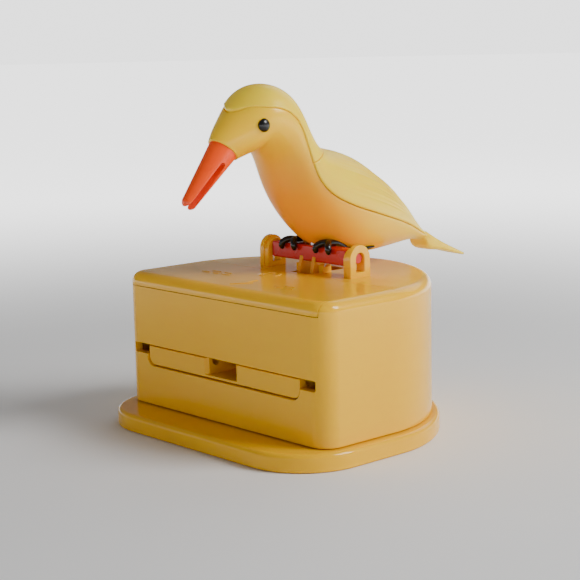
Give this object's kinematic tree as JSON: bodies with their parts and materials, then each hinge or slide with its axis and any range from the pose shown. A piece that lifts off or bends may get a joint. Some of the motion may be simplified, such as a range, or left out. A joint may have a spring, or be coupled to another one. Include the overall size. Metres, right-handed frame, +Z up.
{
  "type": "bird toothpick dispenser",
  "caption": "Desktop dispenser: a perched bird dips its beak to a slot in a D-shaped box while a tray slides out and offers a toothpick.",
  "frame": {"origin": "middle of the base plate's flat underside", "axes": "+X to the bird's left, +Y to the back of the box, +Z up"},
  "size_m": [0.0812, 0.0999, 0.0872],
  "materials": {
    "box_plastic": "moulded gloss yellow ABS",
    "bird_plastic": "slightly translucent warm yellow",
    "cover_plastic": "lighter yellow, soft gloss",
    "orange_plastic": "moulded orange-red",
    "black_plastic": "glossy black",
    "inner_plastic": "matte yellow moulding inside the box",
    "steel": "zinc-plated steel"
  },
  "bodies": {
    "case": {"base_plate": "box_plastic", "box_shell": "box_plastic", "front_lid": "box_plastic", "perch_bracket_left": "box_plastic", "perch_bracket_right": "box_plastic", "toothpick_hopper": "inner_plastic", "tray_rail_left": "inner_plastic", "tray_rail_right": "inner_plastic", "rocker_bracket_left": "inner_plastic", "rocker_bracket_right": "inner_plastic", "base_screw_1": "steel", "base_screw_2": "steel", "base_screw_3": "steel", "base_screw_4": "steel", "lid_pin_left": "steel", "lid_pin_right": "steel", "rocker_axle": "steel", "return_spring": "steel"},
    "bird": {"perch_bar": "orange_plastic", "drive_pin": "steel", "bird_screw": "steel", "bird_body": "bird_plastic", "crest_cap": "cover_plastic", "wing_cover": "cover_plastic", "tail": "bird_plastic", "beak": "orange_plastic", "eye_left": "black_plastic", "eye_right": "black_plastic", "foot_left": "black_plastic", "foot_right": "black_plastic"},
    "rocker": {"drive_rocker": "inner_plastic"},
    "tray": {"dispensing_tray": "box_plastic"}
  },
  "joints": [
    {"name": "bird_tilt", "type": "hinge", "parent": "case", "child": "bird", "pos_m": [0, 0.00665, 0.0435], "axis": [1, 0, 0], "range_deg": [0, 57.5], "stiffness_Nm_per_rad": 0.012, "springref_deg": -34.38},
    {"name": "rocker_turn", "type": "hinge", "parent": "case", "child": "rocker", "pos_m": [0, 0.01022, 0.02893], "axis": [1, 0, 0], "range_deg": [-44, 0]},
    {"name": "tray_slide", "type": "slide", "parent": "case", "child": "tray", "axis": [0, -1, 0], "range_m": [0, 0.00593]}
  ],
  "couplings": [
    {"joint": "rocker_turn", "follows": "bird_tilt", "ratio": -0.755},
    {"joint": "tray_slide", "follows": "bird_tilt", "m_per_rad": 0.0058817}
  ]
}
